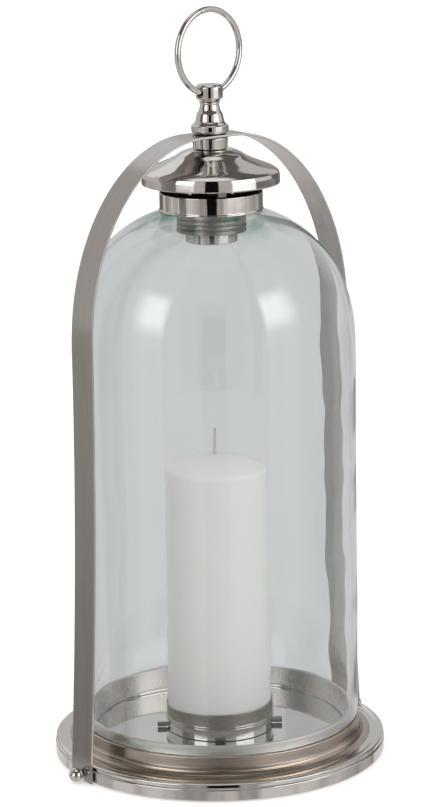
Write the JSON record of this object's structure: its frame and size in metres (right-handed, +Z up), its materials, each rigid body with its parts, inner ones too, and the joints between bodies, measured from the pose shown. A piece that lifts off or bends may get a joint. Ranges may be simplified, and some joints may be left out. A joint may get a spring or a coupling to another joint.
{
  "type": "candle lantern cloche",
  "caption": "Tall candle lantern: a clear glass bell in a flat metal hoop on a round polished base, with a vented cap, a hanging ring and a pillar candle in a cup.",
  "frame": {"origin": "centre of the base on the surface it stands on, under the felt pads", "axes": "+Z up along the lantern's axis; X runs through the two feet of the hoop; +Y and -Y are the open sides of the hoop"},
  "size_m": [0.2746, 0.25, 0.563],
  "materials": {
    "base_nickel": "cast aluminium, polished nickel plate",
    "polished_nickel": "mirror polished nickel plate on turned or spun metal",
    "brushed_nickel": "finely brushed nickel plate, turned grain",
    "strap_nickel": "nickel plated steel strip, fine lengthwise grain",
    "plain_steel": "zinc plated steel fasteners and fittings",
    "clear_glass": "mouth-blown clear glass, slightly wavy, faint green-grey tint",
    "wax": "off-white paraffin wax, soft sheen",
    "wick": "braided cotton, waxed, darkened tip",
    "silicone": "matt grey silicone",
    "felt": "black wool felt"
  },
  "bodies": {
    "base": {"base_casting": "base_nickel", "glass_gallery": "brushed_nickel", "tray_plate": "polished_nickel", "cup_spigot": "plain_steel", "candle_cup": "polished_nickel", "cup_bolt": "plain_steel", "cup_bolt_washer": "plain_steel", "cup_bolt_nut": "plain_steel", "cup_side_screw_right": "plain_steel", "cup_side_screw_left": "plain_steel", "rim_nut_right": "plain_steel", "rim_nut_left": "plain_steel", "foot_pad_1": "felt", "foot_pad_2": "felt", "foot_pad_3": "felt", "foot_pad_4": "felt"},
    "bell": {"glass_bell": "clear_glass", "inner_gasket": "silicone", "collar_gasket": "silicone", "collar": "polished_nickel", "ring_nut": "brushed_nickel", "vent_tube": "plain_steel", "tie_rod": "plain_steel", "tie_rod_nut": "plain_steel", "vent_spider": "plain_steel", "cap_spacer": "plain_steel", "vent_cap": "polished_nickel", "lower_finial": "polished_nickel", "strap_hoop": "strap_nickel", "finial_body": "polished_nickel", "finial_head": "polished_nickel"},
    "ring": {"hanging_ring": "polished_nickel"},
    "candle": {"pillar_candle": "wax", "candle_wick": "wick"},
    "screw_right": {"ball_screw_right": "polished_nickel"},
    "screw_left": {"ball_screw_left": "polished_nickel"}
  },
  "joints": [
    {"name": "bell_lift", "type": "slide", "parent": "base", "child": "bell", "axis": [0, 0, 1], "range_m": [0, 0.225]},
    {"name": "ring_swing", "type": "hinge", "parent": "bell", "child": "ring", "pos_m": [0, 0, 0.5008], "axis": [0.9934, 0.1149, 0], "range_deg": [-140, 140]},
    {"name": "candle_lift", "type": "slide", "parent": "base", "child": "candle", "axis": [0, 0, 1], "range_m": [0, 0.04]},
    {"name": "screw_right_out", "type": "slide", "parent": "base", "child": "screw_right", "axis": [1, 0, 0], "range_m": [0, 0.008]},
    {"name": "screw_left_out", "type": "slide", "parent": "base", "child": "screw_left", "axis": [-1, 0, 0], "range_m": [0, 0.008]}
  ]
}
